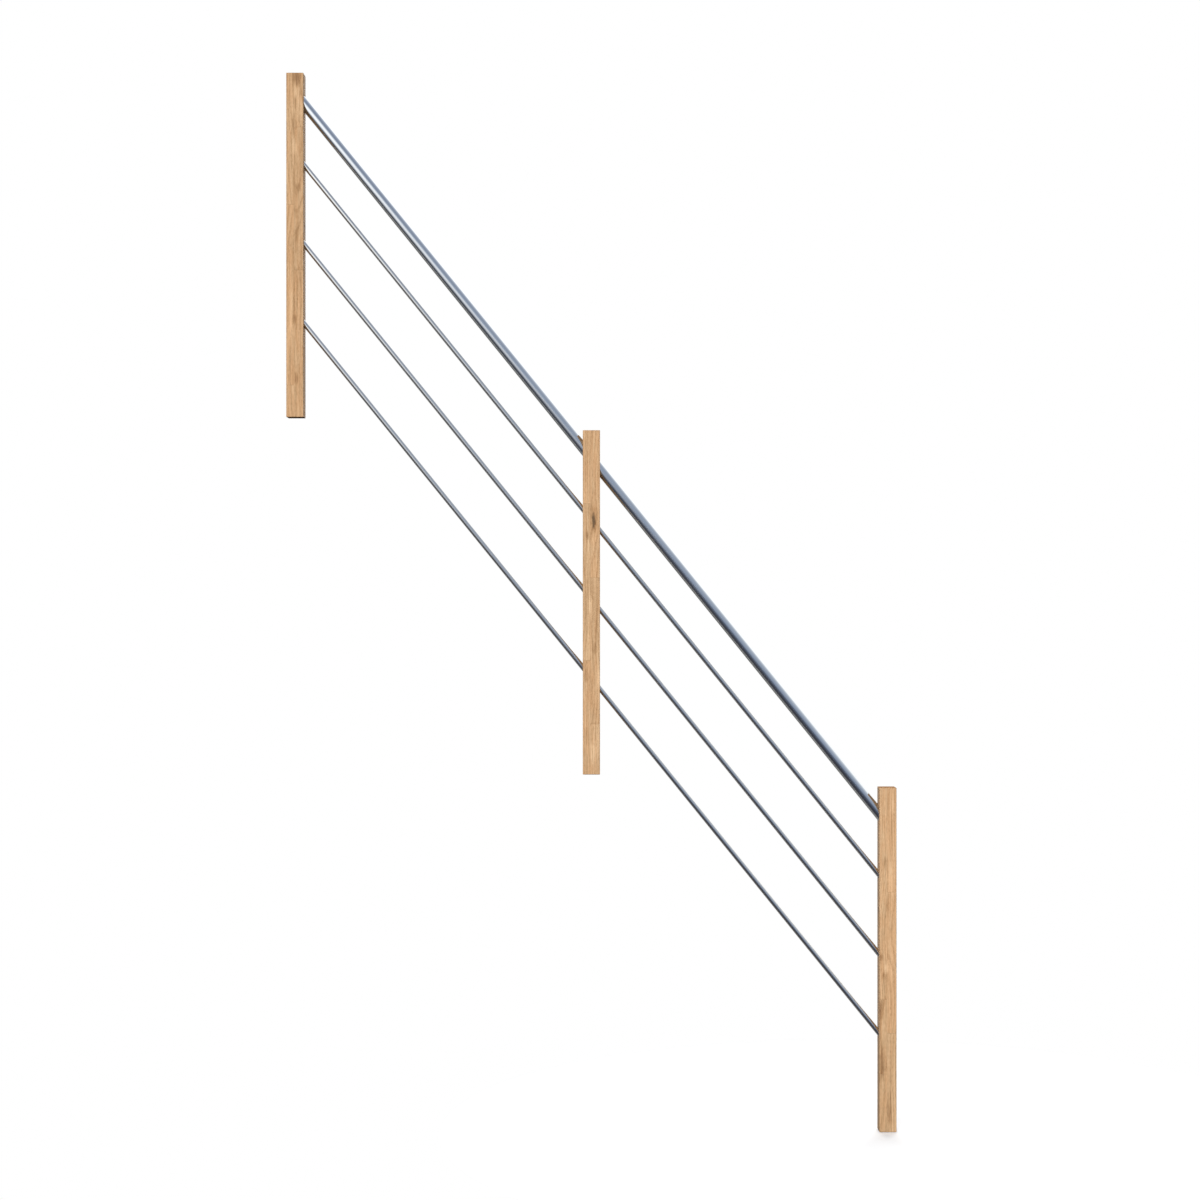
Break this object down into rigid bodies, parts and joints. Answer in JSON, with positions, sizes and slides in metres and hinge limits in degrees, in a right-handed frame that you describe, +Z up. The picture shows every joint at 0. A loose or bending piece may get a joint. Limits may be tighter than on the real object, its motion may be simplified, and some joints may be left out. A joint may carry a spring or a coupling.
{
  "type": "stair balustrade panel",
  "caption": "Balustrade panel for a steep straight stair: square oak posts that carry a sloping round stainless handrail and thinner parallel infill tubes, bolted to the side of the stair.",
  "frame": {"origin": "on the back face of the lower post, halfway between its two threaded inserts", "axes": "+Z up, -X up the stair, +Y out of the posts' backs towards the stair"},
  "size_m": [1.772, 0.05, 3.076],
  "materials": {
    "oak": "oiled, planed smooth",
    "stainless": "polished",
    "zinc_plate": "zinc plated"
  },
  "bodies": {
    "root": {"lower_post": "oak", "middle_post": "oak", "upper_post": "oak", "handrail": "stainless", "upper_infill_tube": "stainless", "middle_infill_tube": "stainless", "lower_infill_tube": "stainless", "lower_post_low_insert": "zinc_plate", "lower_post_high_insert": "zinc_plate", "middle_post_low_insert": "zinc_plate", "middle_post_high_insert": "zinc_plate", "upper_post_low_insert": "zinc_plate", "upper_post_high_insert": "zinc_plate"}
  },
  "joints": []
}
